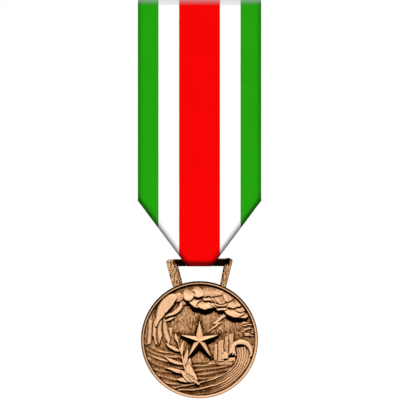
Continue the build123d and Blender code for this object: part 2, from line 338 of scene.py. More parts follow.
def sample(field, x, z):
    """The field's values at places between its cells."""
    fx = np.clip(x / CELL + HALF, 0, 2 * HALF - 1.001)
    fz = np.clip(z / CELL + HALF, 0, 2 * HALF - 1.001)
    ix, iz = fx.astype(int), fz.astype(int)
    tx, tz = fx - ix, fz - iz
    a = field[iz, ix] * (1 - tx) + field[iz, ix + 1] * tx
    b = field[iz + 1, ix] * (1 - tx) + field[iz + 1, ix + 1] * tx
    return a * (1 - tz) + b * tz


def between(value, low, high, soft):
    return smoothstep((value - low) / soft) * smoothstep((high - value) / soft)


fine = grain(0.08, 0.15, 1)
striae = grain(0.12, 0.85, 5)
hatch = grain(0.10, 0.30, 13)
relief = 0.05 * fine + 0.05 * hatch + 0.04 * grain(0.9, 1.2, 2)  # height in mm above the field
polish_and_shade = 0.30 + 0.30 * hatch + 0.10 * striae  # how smooth and bright the surface is kept; on the clouds it also carries painted shade
stain_and_shade = 0.10 * smoothstep(grain(1.8, 1.2, 10) + 0.4)  # extra toning; under the water's crests it also carries painted shade
caster = np.zeros(PX.shape)  # how much higher a place counts when it casts a shadow, in mm


def lay(sdf, level, edge=0.35, base=0.0, shine=1.0, texture=0.0, tone_texture=0.0):
    """Lays a mass on the relief: it stands at level, with a rounded edge, in front of what is below."""
    global relief, polish_and_shade, stain_and_shade
    p = shoulder(sdf, edge)
    top = base + (level - base) * p + texture * p
    inside = sdf < 0
    relief = np.where(inside, np.maximum(top, relief * (1 - p)), relief)
    polish_and_shade = np.where(inside, shine + tone_texture, polish_and_shade)
    stain_and_shade = np.where(inside, 0.0, stain_and_shade)


def press(mask, height, shine, darkness=0.0):
    """Replaces the surface where the mask is 1."""
    global relief, polish_and_shade, stain_and_shade
    relief = relief * (1 - mask) + mask * height
    polish_and_shade = polish_and_shade * (1 - mask) + mask * shine
    stain_and_shade = stain_and_shade * (1 - mask) + mask * darkness


def ridges(phase, sharp):
    """Rows of crests, each with its steep side facing down."""
    return (1 - phase % 1.0) ** sharp


def puff(x, z, half_w, half_h, level, shine=1.0, streak=0.0):
    """A lobe of cloud: high at its lower edge, falling away upwards to the next lobe; painted bright at its
    lower edge and darker upwards, as shade under the lobe above.
    """
    u, v = (WX - x) / half_w, (WZ - z) / half_h
    sdf = (np.hypot(u, v) - 1) * min(half_w, half_h) + lumps
    away = smoothstep((v + 0.55) / 1.5)
    slanted = sample(striae, PX + 0.55 * PZ, PZ) + 0.5 * hatch
    caster[sdf < 0] = 0.14
    # the shine falls with away: painted shade under the lobe above
    lay(sdf, level * (1 - 0.85 * away), 0.45, 0.12, shine - 0.34 * away,
        0.8 * streak * slanted, streak * (3 * slanted - 1.2))


def leaf(x, z, heading, length, half, level):
    """A pointed leaf with a groove along its middle; heading is in degrees from straight up, to the left."""
    ux, uz = -math.sin(math.radians(heading)), math.cos(math.radians(heading))
    along = (WX - x) * ux + (WZ - z) * uz
    share = np.clip(along / length, 0, 1)
    across = (WX - x) * uz - (WZ - z) * ux + 0.30 * half * np.sin(math.pi * share)
    width = half * np.sin(math.pi * share**0.8) ** 0.75
    sdf = np.maximum(np.abs(across) - width, np.maximum(-along, along - length))
    groove = np.exp(-((across / 0.12) ** 2)) * (share < 0.86)
    lay(sdf, level, 0.36, 0.14, 1.0, -0.06 * groove, -0.22 * groove)


# -------- the relief's scene, from the back to the front
# left: curtains of rain, hanging in soft folds
fold_x = PX + 0.75 * grain(1.5, 2.8, 11) + 0.05 * PZ
fold = np.abs(np.sin(math.pi * fold_x / 1.45)) ** 0.8
foot = -1.2 + 1.3 * np.sin(PX * 2.3 + 0.7) + 0.5 * np.sin(PX * 5.1)
top = 5.6 + 1.6 * np.sin(PX * 1.1 + 1.0) + 2.0 * smoothstep((-11.5 - PX) / 2) + 0.8 * grain(0.5, 1.4, 19)
curtain = between(PZ, foot, top, 0.7)
curtain = curtain * smoothstep((-7.9 + 0.12 * PZ - PX) / 0.5) * smoothstep((PX + 15.3) / 0.5)
press(curtain, 0.06 + 0.40 * fold + 0.04 * hatch, 0.10 + 0.75 * fold + 0.25 * striae, 0.22 * (1 - fold) ** 2)

# lower left: a slanting swell
bank = 0.46 * (PX + 15) - 0.020 * (PX + 15) ** 2
swell = (PZ + bank + 0.55 * grain(2.4, 0.9, 3)) / 1.5
force = 0.45 + 0.55 * smoothstep(grain(1.3, 0.5, 14) + 0.5)
crests = np.maximum(ridges(swell, 1.6), 0.55 * ridges(swell * 2 + 0.3, 2.0)) * force
sea_left = smoothstep((-1.2 - bank - PZ) / 0.5) * smoothstep((-2.6 - PX) / 1.2)
press(sea_left, 0.05 + 0.30 * crests + 0.02 * fine, 0.16 + 0.80 * crests + 0.15 * hatch, 0.16 * (1 - crests))

# lower middle: a level sea that runs towards the breaking wave
swell = (PZ - 0.10 * PX - 0.014 * (PX - 2) ** 2 + 0.30 * grain(2.2, 0.6, 4)) / 1.25
force = 0.5 + 0.5 * smoothstep(grain(1.6, 0.4, 15) + 0.5)
crests = np.maximum(ridges(swell, 2.2), 0.5 * ridges(swell * 2 + 0.4, 2.6)) * force
sea_right = smoothstep((-6.0 + 0.05 * PX - PZ) / 0.5) * smoothstep((PX + 2.6) / 0.8)
press(sea_right, 0.03 + 0.24 * crests + 0.02 * fine, 0.12 + 0.84 * crests + 0.15 * hatch, 0.22 * (1 - crests))

# far shore with a few plain towers and a house
shore = ((1.6, -7.2), (3.6, -6.0), (4.8, -5.5), (6.4, -6.2), (8.2, -5.7), (9.6, -6.4), (9.2, -7.4))
lay(polygon(shore), 0.26, 0.3, 0, 0.45, 0, 0.3 * striae)
for left, right, foot_z, top_z, level in (
    (7.2, 8.1, -4.6, 0.9, 0.30), (4.2, 5.2, -6.0, -1.3, 0.42), (8.3, 9.7, -4.2, 1.6, 0.42),
    (5.4, 7.0, -6.2, -0.2, 0.52),
):
    tower = ((left, foot_z), (left, top_z - 0.4), (left + 0.4, top_z), (right, top_z), (right, foot_z))
    piers = np.cos(TAU * (WX - left) / 0.62)
    lay(polygon(tower), level, 0.22, 0, 0.62, 0.08 * piers, 0.175 * piers)
lay(polygon(((6.3, -5.6), (6.2, -4.4), (7.2, -3.3), (8.3, -4.3), (8.2, -5.6))), 0.56, 0.2, 0.1, 0.85)
lay(polygon(((8.0, -6.4), (8.2, -5.3), (10.2, -5.0), (10.4, -6.2))), 0.36, 0.2, 0, 0.6, 0, 0.4 * fine)

# right edge: broken ledges of a cliff
ledge = smoothstep(grain(0.40, 0.13, 12) * 1.6 + 0.4)
cliff = smoothstep((WX - 11.8) / 0.8) * between(WZ, 0.4, 5.6, 0.8)
press(cliff, 0.04 + 0.24 * ledge, 0.15 + 0.6 * ledge, 0.15 * (1 - ledge))

# a bolt from the clouds
bolt = ((6.6, 7.3), (7.5, 6.7), (5.3, 4.9), (6.5, 4.8), (2.4, 1.8), (2.1, 2.1), (4.6, 4.1), (3.5, 4.2))
lay(polygon(bolt), 0.36, 0.2, 0.0, 0.85)

# storm cloud drawn out by the wind, upper left, with two wisps below it
cloud_tail = ((-7.2, 12.0), (-8.8, 10.9), (-10.4, 8.6), (-11.5, 6.2), (-12.4, 4.0))
low_wisp = ((-7.0, 6.2), (-8.4, 5.7), (-10.2, 5.0))
high_wisp = ((-5.2, 9.9), (-5.6, 8.8), (-6.9, 7.8), (-8.6, 7.0), (-9.9, 6.4))
lay(circle(-5.9, 11.9, 1.5), 0.5, 0.6, 0.0, 0.55, 0.05 * striae, 0.4 * striae)
lay(circle(-4.7, 10.2, 0.9), 0.42, 0.5, 0.0, 0.3, 0.05 * striae, 0.4 * striae)
lay(swept(low_wisp, (0.2, 0.5, 0.15)), 0.55, 0.3, 0.1, 0.95)
lay(swept(high_wisp, (0.45, 0.75, 0.6, 0.2)), 0.62, 0.4, 0.1)
lay(swept(cloud_tail, (1.2, 1.85, 1.6, 0.95, 0.5)), 0.8, 0.6, 0.1, 1.0, 0.02 * striae, 0.10 * striae)

# top: banks of cloud, laid from the nearest, lowest lobes to the ones that lap over them
lumps = 0.24 * grain(0.55, 0.40, 18)
for lobe in (  # x, z, half width, half height, level, shine, streak
    (12.6, 7.0, 1.9, 1.1, 0.62, 0.8, 0.06), (9.9, 8.1, 2.9, 1.9, 0.82, 0.95, 0.02),
    (11.9, 8.9, 1.7, 1.2, 0.60, 0.8, 0.07), (6.4, 8.9, 1.7, 0.9, 0.66, 0.9),
    (-0.8, 10.6, 2.2, 1.7, 0.82), (1.9, 9.9, 2.5, 1.6, 0.84), (4.3, 10.2, 1.6, 1.0, 0.66, 0.9),
    (9.4, 10.4, 2.6, 1.6, 0.70, 0.85, 0.08), (6.3, 10.6, 2.2, 1.3, 0.70, 0.9, 0.06),
    (2.9, 11.7, 2.1, 1.1, 0.66, 0.9, 0.03), (6.4, 12.2, 3.6, 2.0, 0.62, 0.8, 0.10),
    (3.2, 13.5, 3.4, 1.5, 0.60, 0.8, 0.09), (-0.6, 13.3, 2.1, 1.6, 0.76), (-2.9, 12.5, 1.6, 1.7, 0.80),
):
    puff(*lobe)

# water that runs from the wave down the right edge and along the bottom, in strands
STRANDS = 6  # every third one runs on as a crest far from the wave
inner_bank = ((10.6, -2.4), (10.9, -5.6), (9.0, -8.4), (5.4, -10.7), (0.4, -12.2), (-4.0, -13.2),
              (-7.6, -13.9))
outer_bank = ((15.4, -1.6), (14.6, -6.4), (12.9, -9.2), (9.6, -12.4), (4.8, -14.9), (-0.6, -15.7),
              (-6.6, -15.4))
inner, outer = curve(inner_bank, 60), curve(outer_bank, 60)
thin = [0.0] * len(inner)
water = smoothstep(-polygon(np.vstack([inner, outer[::-1]])) / 0.1)
near_wave = smoothstep((PX * 0.75 - PZ * 0.25 - 5.0) / 5)
from_inner, from_outer = stroke(inner, thin), stroke(outer, thin)
across = from_inner / (from_inner + from_outer) + 0.012 * grain(1.6, 1.6, 16)
strand_w = (from_inner + from_outer) / STRANDS
strand = 0.5 + 0.5 * np.cos(TAU * STRANDS * across)
to_crest = np.abs((STRANDS / 3 * across + 0.5) % 1 - 0.5) * 3 * strand_w
crest = np.exp(-((to_crest / 0.20) ** 2))
# painted shade just below each crest, added to the darker troughs
shade_below_crest = np.exp(-(((STRANDS / 3 * across) % 1) / 0.35))
patches = smoothstep(grain(0.45, 0.35, 17) + 0.45)
near_shine = 0.30 + 0.66 * strand**0.8
far_shine = 0.08 + 0.85 * crest + 0.30 * patches * (1 - crest) + 0.10 * hatch
height = 0.08 + 0.34 * (near_wave * 0.6 * strand + (1 - near_wave) * crest) + 0.10 * near_wave
press(water, height, near_wave * near_shine + (1 - near_wave) * far_shine,
      0.38 * (1 - near_wave) * (1 - crest) * (0.4 + 0.6 * shade_below_crest))
lay(stroke(inner, [0.16] * len(inner)), 0.5, 0.16, 0.1)

# the breaking wave: a curling crest with a torn lip
back_of_wave = ((8.2, -4.4), (8.4, -2.6), (9.7, -0.8), (11.8, 0.1), (13.8, -0.5), (15.0, -2.3), (15.1, -4.6))
curl = ((14.2, -5.2), (13.8, -3.2), (12.9, -2.0), (11.6, -1.6), (10.5, -2.2), (10.2, -3.3), (10.7, -4.6))
lip = ((10.1, -5.3), (9.9, -4.5), (9.3, -5.1), (9.1, -4.2), (8.6, -4.9))
wave = polygon(np.vstack([curve(back_of_wave, 36), curve(curl, 36), lip]))
around = np.arctan2(PZ + 3.6, PX - 11.9)
run = np.sin(np.hypot((PX - 11.9) * 0.95, PZ + 3.6) * 11 + 2.0 * np.cos(around)) * smoothstep((PX - 9.5) / 4)
lay(wave, 0.85, 0.6, 0.1, 0.9, 0.04 * run, 0.16 * run)

# star: five ridged arms that stand on a low upright wall
star_x, star_z, star_tip, star_notch = 0.0, -0.4, 5.7, 1.7
star_top, star_wall = 0.87, 0.32
turn = np.arctan2(PX - star_x, PZ - star_z)
reach = np.hypot(PX - star_x, PZ - star_z)
arm = np.abs((turn + math.pi / 5) % (TAU / 5) - math.pi / 5)
notch_x, notch_z = star_notch * math.sin(math.pi / 5), star_notch * math.cos(math.pi / 5)
side = math.hypot(star_tip - notch_z, notch_x)
into = ((star_tip - reach * np.cos(arm)) * notch_x - reach * np.sin(arm) * (star_tip - notch_z)) / side
star = into > 0
ridge = np.exp(-((np.minimum(np.sin(arm) * reach, 9) / 0.22) ** 2))
stain_and_shade += 0.26 * np.exp(-((np.clip(-into - 0.1, 0, 9) / 0.8) ** 2))  # the field is darker close round the arms
caster[star] = 0.36
relief = np.where(star, star_wall + (star_top - star_wall) * into * side / (star_tip * notch_x), relief)
polish_and_shade = np.where(star, 0.72 + 0.3 * ridge + 0.2 * striae, polish_and_shade)
stain_and_shade = np.where(star, 0.0, stain_and_shade)

# a palm branch that rises from the sea, lower left
stem = curve(((-0.4, -12.6), (-2.8, -11.0), (-4.2, -7.8), (-5.2, -4.0), (-6.0, -1.2)), 24)
for share, heading, length, half in (  # share: how far up the stem
    (1.00, 16, 3.2, 0.50), (0.80, 60, 5.0, 0.55), (0.74, -8, 4.4, 0.50), (0.58, 68, 6.2, 0.62),
    (0.52, -10, 5.4, 0.62), (0.40, 76, 6.4, 0.66), (0.30, -4, 5.4, 0.80), (0.20, 84, 4.6, 0.80),
    (0.05, 24, 6.2, 1.25), (0.10, 52, 5.2, 1.10),
):
    x, z = stem[int(share * (len(stem) - 1))]
    leaf(x, z, heading, length, half, 0.66 + 0.16 * (1 - share))
lay(stroke(stem, np.linspace(0.42, 0.16, len(stem))), 0.84, 0.26, 0.2)

# everything stops at the rim's inner wall
relief = np.clip(relief, -0.03, recess - 0.03)
relief *= smoothstep((rim_inner - 0.05 - RAD) / 0.25)

# a struck, toned and rubbed surface: bright tops, brown ground, painted black shadow under ledges, painted
# black shade on what faces down and painted light on what faces up
RIM_HEIGHT = 0.45  # the rim casts a shorter painted shadow on the field than its real height would
SHADOW_STEPS = 29
SHADOW_FALL, LONG_FALL = 0.55, 0.38  # how fast a shadow runs out; clouds and the star cast the long one
with_rim = np.where(RAD > rim_inner, RIM_HEIGHT, relief)
raised = np.where(caster > 0, relief + caster, 0)
painted_shadow = np.zeros(PX.shape)
for step in range(1, SHADOW_STEPS + 1):
    cast = np.roll(with_rim, -step, 0) - relief - SHADOW_FALL * step * CELL
    long_cast = np.roll(raised, -step, 0) - relief - LONG_FALL * step * CELL
    painted_shadow = np.maximum(painted_shadow, np.maximum(cast, np.where(star, 0, long_cast)))
hollow = blur(with_rim, 0.28) - relief
wide_hollow = blur(with_rim, 0.9) - relief
broad = blur(with_rim, 0.07)
slope = (np.roll(broad, 1, 0) - np.roll(broad, -1, 0)) / (2 * CELL)  # positive where it faces up
tone = 0.475 + 0.365 * polish_and_shade - stain_and_shade
tone -= 0.8 * np.clip(hollow, -0.12, 1) + 0.5 * np.clip(wide_hollow, -0.12, 0.6)
# painted light and shade: what faces up is painted lighter and what faces down darker; fine grain shows where
# unpolished
tone += 0.10 * np.clip(slope, -1, 1) + 0.10 * fine * (1 - np.clip(polish_and_shade, 0, 1))
# painted shade: what faces down turns black, less so in the sea
sea = np.maximum(sea_left, sea_right) * (polish_and_shade < 0.97) * (relief < 0.36)
tone *= 1 - (0.96 - 0.40 * sea) * smoothstep((-slope - 0.14) / 0.22)
# painted cast shadow: black under ledges, the rim, the clouds and the star
tone *= 1 - smoothstep((painted_shadow - 0.12) / 0.22)
rim_shadow = between(RAD, rim_inner - 0.60, rim_inner + 1.0, 0.20)
rim_shadow = rim_shadow * smoothstep((1.24 * PZ + 0.26 * PX) / disc_r - 0.15)
tone *= 1 - 0.985 * rim_shadow  # painted shadow of the rim's upper part on the field
tone = np.clip(tone, 0, 1)


# -------- materials
def bronze(name, grain_scale):
    """Antique bronze: the 'tone' attribute says how worn (bright) or toned (dark) each place is, and also
    carries painted shadow, shade and light.
    """
    n = Nodes(name)
    where = n.coords((1000, 1000, 600))
    speck = n.noise(grain_scale, 4, 0.65, where)
    wide = n.noise(0.35, 3, 0.6, where)
    laid = n.attribute("tone")
    tone = n.math("ADD", laid, n.math("MULTIPLY", n.math("SUBTRACT", speck, 0.5), 0.22))
    tone = n.math("ADD", tone, n.math("MULTIPLY", n.math("SUBTRACT", wide, 0.5), 0.12), clamp=True)
    tone = n.math("MULTIPLY", tone, n.math("MULTIPLY", laid, 9.0, clamp=True), clamp=True)
    colour = n.ramp(tone, [
        (0.0, srgb(2, 1, 0)), (0.14, srgb(40, 18, 2)), (0.32, srgb(92, 55, 23)),
        (0.52, srgb(150, 107, 70)), (0.72, srgb(195, 150, 109)), (0.95, srgb(225, 179, 138)),
    ])
    rough = n.math("SUBTRACT", 0.80, n.math("MULTIPLY", tone, 0.30))
    n.put(n.bsdf.inputs["Specular IOR Level"], n.math("MULTIPLY", tone, 0.15))
    return n.finish(Base_Color=colour, Metallic=n.math("MULTIPLY", tone, 0.22), Roughness=rough,
                    Normal=n.bump(speck, 0.03 * MM, 0.6))


def metal(name, base, rough, scale, stretch, bump, dirt=0.35):
    """Plated or drawn metal with fine drawing lines, small dents and dull patches."""
    n = Nodes(name)
    lines = n.noise(scale, 4, 0.6, n.coords(stretch))
    patches = n.noise(0.6, 3, 0.55)
    low = tuple(c * (1 - dirt) for c in base)
    colour = n.mix(n.math("MULTIPLY", patches, lines, clamp=True), (*low, 1), (*base, 1))
    colour = n.mix(patches, colour, (*base, 1))
    uneven = n.math("ADD", rough, n.math("MULTIPLY", n.math("SUBTRACT", patches, 0.4), 0.3))
    return n.finish(Base_Color=colour, Metallic=1.0, Roughness=uneven, Normal=n.bump(lines, bump * MM, 0.8))


GREEN, WHITE, RED = srgb(31, 150, 9), srgb(238, 238, 238), srgb(229, 0, 0)
RIBBON_W = 35.0  # woven width, mm; each green and white stripe is a sixth of it
RIB, WARP = 0.42, 0.16  # pitch of the weft ribs and of the warp threads, mm


def ribbon_material():
    """Woven stripes: 'weave' is the place across and along the ribbon in mm, 'edge' the painted shade at
    folds,
    'sheen' a painted grey sheen on the top fold."""
    n = Nodes("ribbon_weave")
    weave = n.attribute("weave", "Vector")
    across = n.node("ShaderNodeSeparateXYZ", 0, None, i0=weave)
    along = n.node("ShaderNodeSeparateXYZ", 1, None, i0=weave)
    from_middle = n.math("ABSOLUTE", across)
    colour = n.mix(n.math("GREATER_THAN", from_middle, RIBBON_W / 6), (*RED, 1), (*WHITE, 1))
    colour = n.mix(n.math("GREATER_THAN", from_middle, RIBBON_W / 3), colour, (*GREEN, 1))
    rib = n.math("ABSOLUTE", n.math("SINE", n.math("MULTIPLY", along, math.pi / RIB)))
    warp = n.math("ABSOLUTE", n.math("SINE", n.math("MULTIPLY", across, math.pi / WARP)))
    slub = n.noise(1.0, 3, 0.6, n.scaled(weave, (0.5, 7.0, 1.0)))
    fuzz = n.noise(9.0, 2, 0.5)
    cloth = n.math("ADD", n.math("MULTIPLY", rib, 0.8), n.math("MULTIPLY", warp, 0.2))
    height = n.math("ADD", cloth, n.math("MULTIPLY", n.math("ADD", slub, fuzz), 0.35))
    gap_shade = n.math("ADD", 0.05, n.math("MULTIPLY", slub, 0.08))
    colour = n.mix(n.math("MULTIPLY", n.math("SUBTRACT", 1.0, cloth), gap_shade), colour, (0, 0, 0, 1))
    colour = n.mix(n.attribute("edge"), colour, (0, 0, 0, 1))
    colour = n.mix(n.attribute("sheen"), colour, (0.62, 0.62, 0.62, 1))
    n.put(n.bsdf.inputs["Specular IOR Level"], 0.04)
    return n.finish(Base_Color=colour, Roughness=0.9, Normal=n.bump(height, 0.05 * MM, 0.6),
                    Sheen_Weight=0.02, Sheen_Roughness=0.4)


def cloth_material(name, base, twist, scale):
    """Thread (with a twist) or buckram (a plain weave), with fuzz."""
    n = Nodes(name)

    def bands(direction):
        return n.node("ShaderNodeTexWave", 1, {"bands_direction": direction},
                      Vector=n.coords(), Scale=scale, Distortion=0.6)

    weave = bands("DIAGONAL") if twist else n.math("MAXIMUM", bands("X"), bands("Z"))
    fuzz = n.noise(6.0, 3, 0.6)
    light = n.math("ADD", n.math("MULTIPLY", weave, 0.6), n.math("MULTIPLY", fuzz, 0.4))
    dark = tuple(c * 0.6 for c in base)
    n.put(n.bsdf.inputs["Specular IOR Level"], 0.2)
    return n.finish(Base_Color=n.mix(light, (*dark, 1), (*base, 1)), Roughness=0.85,
                    Normal=n.bump(n.math("ADD", weave, fuzz), 0.04 * MM, 0.7))


disc_bronze = bronze("struck_bronze", 3.2)
loop_bronze = bronze("cast_bronze", 2.4)
ribbon_cloth = ribbon_material()
thread = cloth_material("thread", srgb(226, 222, 210), True, 1.6)
buckram = cloth_material("buckram", srgb(214, 203, 176), False, 0.5)
gilt = metal("gilt_brass", srgb(222, 178, 96), 0.30, 1.2, (1000, 1000, 250), 0.012)
gilt_dull = metal("rolled_brass", srgb(200, 158, 84), 0.42, 1.6, (150, 1000, 1000), 0.01)
steel = metal("drawn_steel", srgb(205, 203, 198), 0.24, 2.0, (120, 1500, 1500), 0.006, 0.2)

# -------- the disc as one closed mesh
N = 280  # cells across the front field
front_y, back_y = disc_low.y / MM, disc_high.y / MM
ticks = np.linspace(-1, 1, N + 1)
A, B = np.meshgrid(ticks, ticks)
with np.errstate(divide="ignore", invalid="ignore"):  # a square grid bent into a disc, ring by ring
    wide_a = np.abs(A) > np.abs(B)
    ring = np.where(wide_a, A, B)
    steep_phi = math.pi / 2 - math.pi / 4 * np.nan_to_num(A / B)
    phi = np.where(wide_a, math.pi / 4 * np.nan_to_num(B / A), steep_phi)
GX, GZ = rim_inner * ring * np.cos(phi), rim_inner * ring * np.sin(phi)
field_y = front_y + recess - sample(relief, GX, GZ)
verts = [np.stack([GX.ravel(), field_y.ravel(), GZ.ravel()], 1)]
tones = [sample(tone, GX, GZ).ravel()]
faces = grid_faces(N + 1, N + 1)
index = np.arange((N + 1) ** 2).reshape(N + 1, N + 1)
previous = np.concatenate([index[0, :-1], index[:-1, -1], index[-1, :0:-1], index[:0:-1, 0]])
ring_phi = np.arctan2(GZ.ravel()[previous], GX.ravel()[previous])
R, D = disc_r, disc_depth
# radius, depth behind the rim's front, tone at the foot and at the top, which differ as painted light and
# shade; from the inner wall to the back field
profile = (
    (rim_inner + 0.02, 0.22, 0.34, 0.00), (rim_inner + 0.09, 0.06, 0.66, 0.25),
    (rim_inner + 0.17, 0.0, 0.90, 0.84), (R - 0.46, 0.0, 0.92, 0.80), (R - 0.38, 0.01, 0.90, 0.12),
    (R - 0.24, 0.03, 0.76, 0.00), (R - 0.12, 0.10, 0.46, 0.00), (R, 0.36, 0.22, 0.00),
    (R, D / 2, 0.36, 0.20), (R, D - 0.45, 0.40, 0.36), (R - 0.05, D - 0.16, 0.55, 0.5),
    (R - 0.25, D, 0.85, 0.85), (rim_inner + 0.12, D, 0.85, 0.85), (rim_inner, D - 0.1, 0.3, 0.3),
    (rim_inner - 0.1, D - back_recess, 0.15, 0.15), (rim_inner * 0.8, D - back_recess, 0.5, 0.5),
    (rim_inner * 0.45, D - back_recess, 0.55, 0.55),
)
rim_rng = np.random.default_rng(SEED + 20)
start = len(verts[0])
count = len(previous)
following = np.roll(np.arange(count), -1)
upper = smoothstep(0.5 + 0.5 * np.sin(ring_phi - 0.35))  # 1 at the top of the disc, 0 at its foot; it sets the rim's painted light and shade
for radius, depth, low_tone, high_tone in profile:
    ids = start + np.arange(count)
    circle_y = np.full(count, front_y + depth)
    verts.append(np.stack([radius * np.cos(ring_phi), circle_y, radius * np.sin(ring_phi)], 1))
    on_rim = (radius > rim_inner + 0.05) & (depth < D / 2)
    reeding = 0.07 * np.sin(ring_phi * 150 + radius * 9) * on_rim * np.abs(np.cos(ring_phi))
    uneven = 0.04 * rim_rng.standard_normal(count) * (radius > rim_inner)
    tones.append(np.clip(low_tone + (high_tone - low_tone) * upper + reeding + uneven, 0, 1))
    faces += np.stack([previous, previous[following], ids[following], ids], 1)[:, ::-1].tolist()
    previous = ids
    start += count
verts.append(np.array([[0, back_y - back_recess, 0]]))
tones.append(np.array([0.55]))
faces += np.stack([previous, np.full(count, start), previous[following]], 1).tolist()
verts = np.vstack(verts) + [disc_centre.x / MM, 0, disc_centre.z / MM]
disc = new_object("medal_disc_struck", verts * MM, faces, disc_bronze)
put_attribute(disc, "tone", np.concatenate(tones))
turn_outwards(disc)
hand_over(disc, "medal", "medal_disc")

# -------- suspension loop, in mm from its bar's middle
loop_low, loop_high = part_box("suspension_loop")
bar_r = 0.9
bar_z = loop_high.z - bar_r * MM
mid_y = (loop_low.y + loop_high.y) / 2
leg_run = 6.7  # height over which the legs taper
leg_half_y = 1.0
# x of a leg's outer and inner edge at the top, then at the foot
left_leg, right_leg = (-9.85, -6.72, -8.05, -4.95), (9.65, 7.32, 7.98, 6.02)


def bark(x, y, z):
    """Cast bark: short dark clefts along the leg. Gives the depth of the cleft and a fine roughness."""
    wander = mnoise.noise(Vector((x * 0.6, y * 0.6, z * 0.7 + 3)))
    place = (x + 0.5 * y) / 0.60 + 0.9 * wander
    row = 0.5 + 0.5 * math.sin(TAU * place)
    broken = 0.5 + 0.5 * math.sin(TAU * (z / 1.9 + 0.38 * math.floor(place + 0.25) + 1.1 * wander))
    gap = smoothstep((row - 0.34) / 0.40) * smoothstep((broken - 0.16) / 0.30)
    return float(gap), mnoise.noise(Vector((x * 7.0 + 7, y * 6.0, z * 2.2)))


def rounded_square(count, power=4.4):
    """Points round a square with rounded corners, from -1 to 1 in x and y, evenly spread over its sides."""
    points = []
    for j in range(count):
        side, share = divmod(4 * j / count, 1)
        a, b = 1.0, 2 * share - 1
        for _ in range(int(side)):
            a, b = -b, a
        scale = (abs(a) ** power + abs(b) ** power) ** (-1 / power)
        points.append((a * scale, b * scale))
    return points


def leg_mesh(outer_top, inner_top, outer_foot, inner_foot, top, shadow):
    """One leg from its top down to the disc's edge; shadow is how far out the bar's painted black shadow
    reaches.
    """
    rows, cols = 90, 96
    section = rounded_square(cols)
    side = math.copysign(1, outer_top)
    verts, tones = [], []
    for i in range(rows + 1):
        s = i / rows
        inset = 0.40 * max(0.0, 1 - s * 14) ** 2  # the top end is rounded
        for c, q in section:
            foot_x = (outer_foot + inner_foot + c * abs(outer_foot - inner_foot)) / 2
            foot_z = (disc_centre.z - bar_z) / MM + math.sqrt((disc_r - 0.45) ** 2 - foot_x**2)
            z = top - s * (top - foot_z)
            k = (bar_r - z) / leg_run
            outer_x = outer_top + (outer_foot - outer_top) * k
            inner_x = inner_top + (inner_foot - inner_top) * k
            half = abs(inner_x - outer_x) / 2
            outward = c * side  # 1 on the outer edge, -1 on the inner one
            corner = 0.75 * max(0.0, 1 - s * 9.5) ** 2.4 if outward > 0 else 0.0
            sx, sy = c * (half - inset - corner), q * (leg_half_y - inset * 0.6)
            gap, rough = bark(sx + 20 * side, sy, z)
            sink = 0.10 * gap + 0.05 * max(0.0, -rough)
            verts.append(((outer_x + inner_x) / 2 + sx - c**3 * sink, sy - q**3 * sink, z))
            # painted shade: black where the bar's shadow falls, darker at the leg's edges and on its inner
            # side
            painted_bar_shadow = smoothstep((z + 1.15) / 0.5) * smoothstep((shadow + 0.25 - sx * side / half) / 0.75)
            edge_shade = 0.30 * max(0.0, abs(c) - 0.92) / 0.08 + 0.35 * max(0.0, -outward - 0.88) / 0.12
            inner_shade = 0.20 * smoothstep((0.2 - outward) / 1.1)
            cleft_dark = 0.32 + 0.28 * smoothstep((0.5 - q) / 1.0)  # darker on the front than on the back
            lit = 0.76 + 0.30 * rough - cleft_dark * gap - edge_shade - inner_shade
            tones.append(lit * (1 - 0.96 * painted_bar_shadow))
    return verts, tube_faces(rows, cols), tones


def bar_mesh(left_x, right_x):
    """The top bar, worn thinner inside the ribbon's fold and sagging a little outside it."""
    rows, cols = 90, 32
    verts, tones = [], []
    for i in range(rows + 1):
        x = left_x + (right_x - left_x) * i / rows
        swell = float(smoothstep((abs(x) - 3.45) / 0.4))
        for j in range(cols):
            t = TAU * j / cols
            rough = 0.04 * mnoise.noise(Vector((x * 1.7, math.cos(t) * 2, math.sin(t) * 2)))
            r = 0.85 + (0.20 if x < 0 else 0.29) * swell + rough
            sag = (0.42 if x < 0 else 0.31) * swell
            verts.append((x, min(r, 0.92) * math.cos(t), r * math.sin(t) - sag))
            # painted shade: the bar is almost black all round, as the ribbon's shadow; a painted highlight
            # runs along its top next to the legs
            tones.append(0.05 + 1.2 * rough + 2.6 * max(0.0, math.sin(t) - 0.72) * swell)
    return verts, tube_faces(rows, cols, capped=False), tones


verts, faces, tones = [], [], []
for piece in (
    leg_mesh(*left_leg, top=0.50, shadow=-0.35),
    leg_mesh(*right_leg, top=bar_r, shadow=0.55),
    bar_mesh(left_leg[1] - 0.6, right_leg[1] + 0.6),
):
    faces += [tuple(i + len(verts) for i in face) for face in piece[1]]
    verts += piece[0]
    tones += piece[2]
loop = new_object("suspension_loop_cast", np.array(verts) * MM + [0, mid_y, bar_z], faces, loop_bronze)
put_attribute(loop, "tone", np.clip(tones, 0, 1))
turn_outwards(loop)
hand_over(loop, "medal", "suspension_loop")

